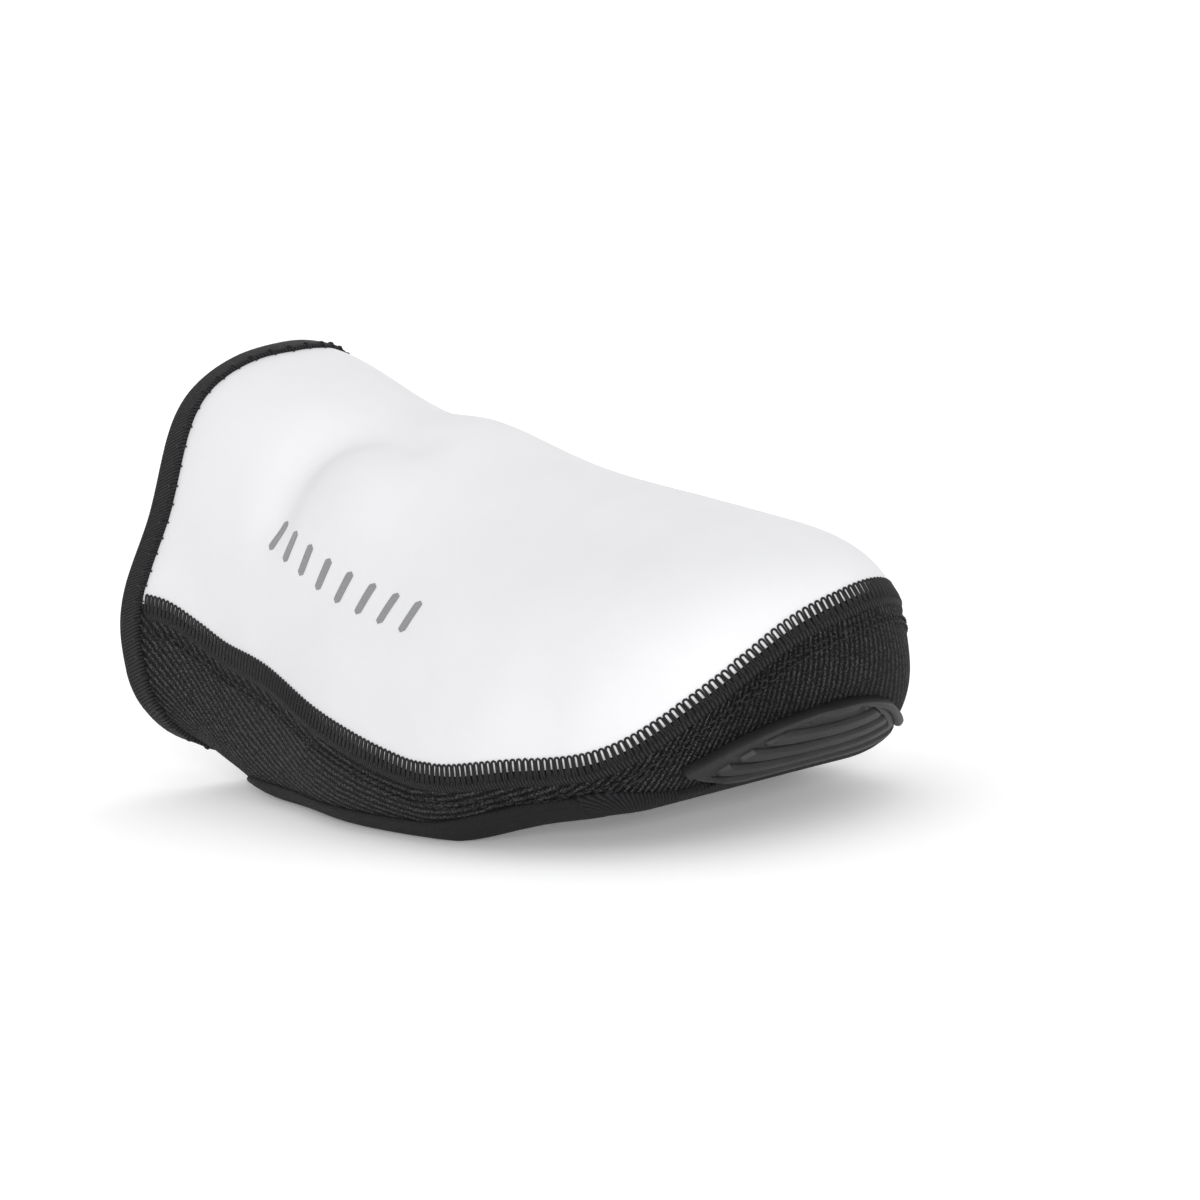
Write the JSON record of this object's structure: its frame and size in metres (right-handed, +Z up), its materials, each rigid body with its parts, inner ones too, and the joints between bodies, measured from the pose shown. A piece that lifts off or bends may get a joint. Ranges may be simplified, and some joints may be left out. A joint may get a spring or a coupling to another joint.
{
  "type": "cycling toe cover",
  "caption": "Soft hollow toe cover for a cycling shoe: smooth shell, woven band, taped rear edge, cleat opening and rubber toe pad.",
  "frame": {"origin": "middle of the bounding box's base, on the floor under the cover", "axes": "+X to the toe, +Y to the medial side (wearer's left), +Z up"},
  "size_m": [0.2132, 0.1022, 0.1028],
  "materials": {
    "neoprene": "matt smooth-skin neoprene, white",
    "woven": "ribbed abrasion-resistant weave, black",
    "thread": "flatlock stitching, black",
    "tape": "grosgrain binding tape, black",
    "grip": "matt moulded rubber, black"
  },
  "bodies": {
    "root": {"neoprene_upper": "neoprene", "woven_base": "woven", "flatlock_seam": "thread", "rear_binding": "tape", "cleat_opening_binding": "tape", "toe_grip": "grip"}
  },
  "joints": []
}
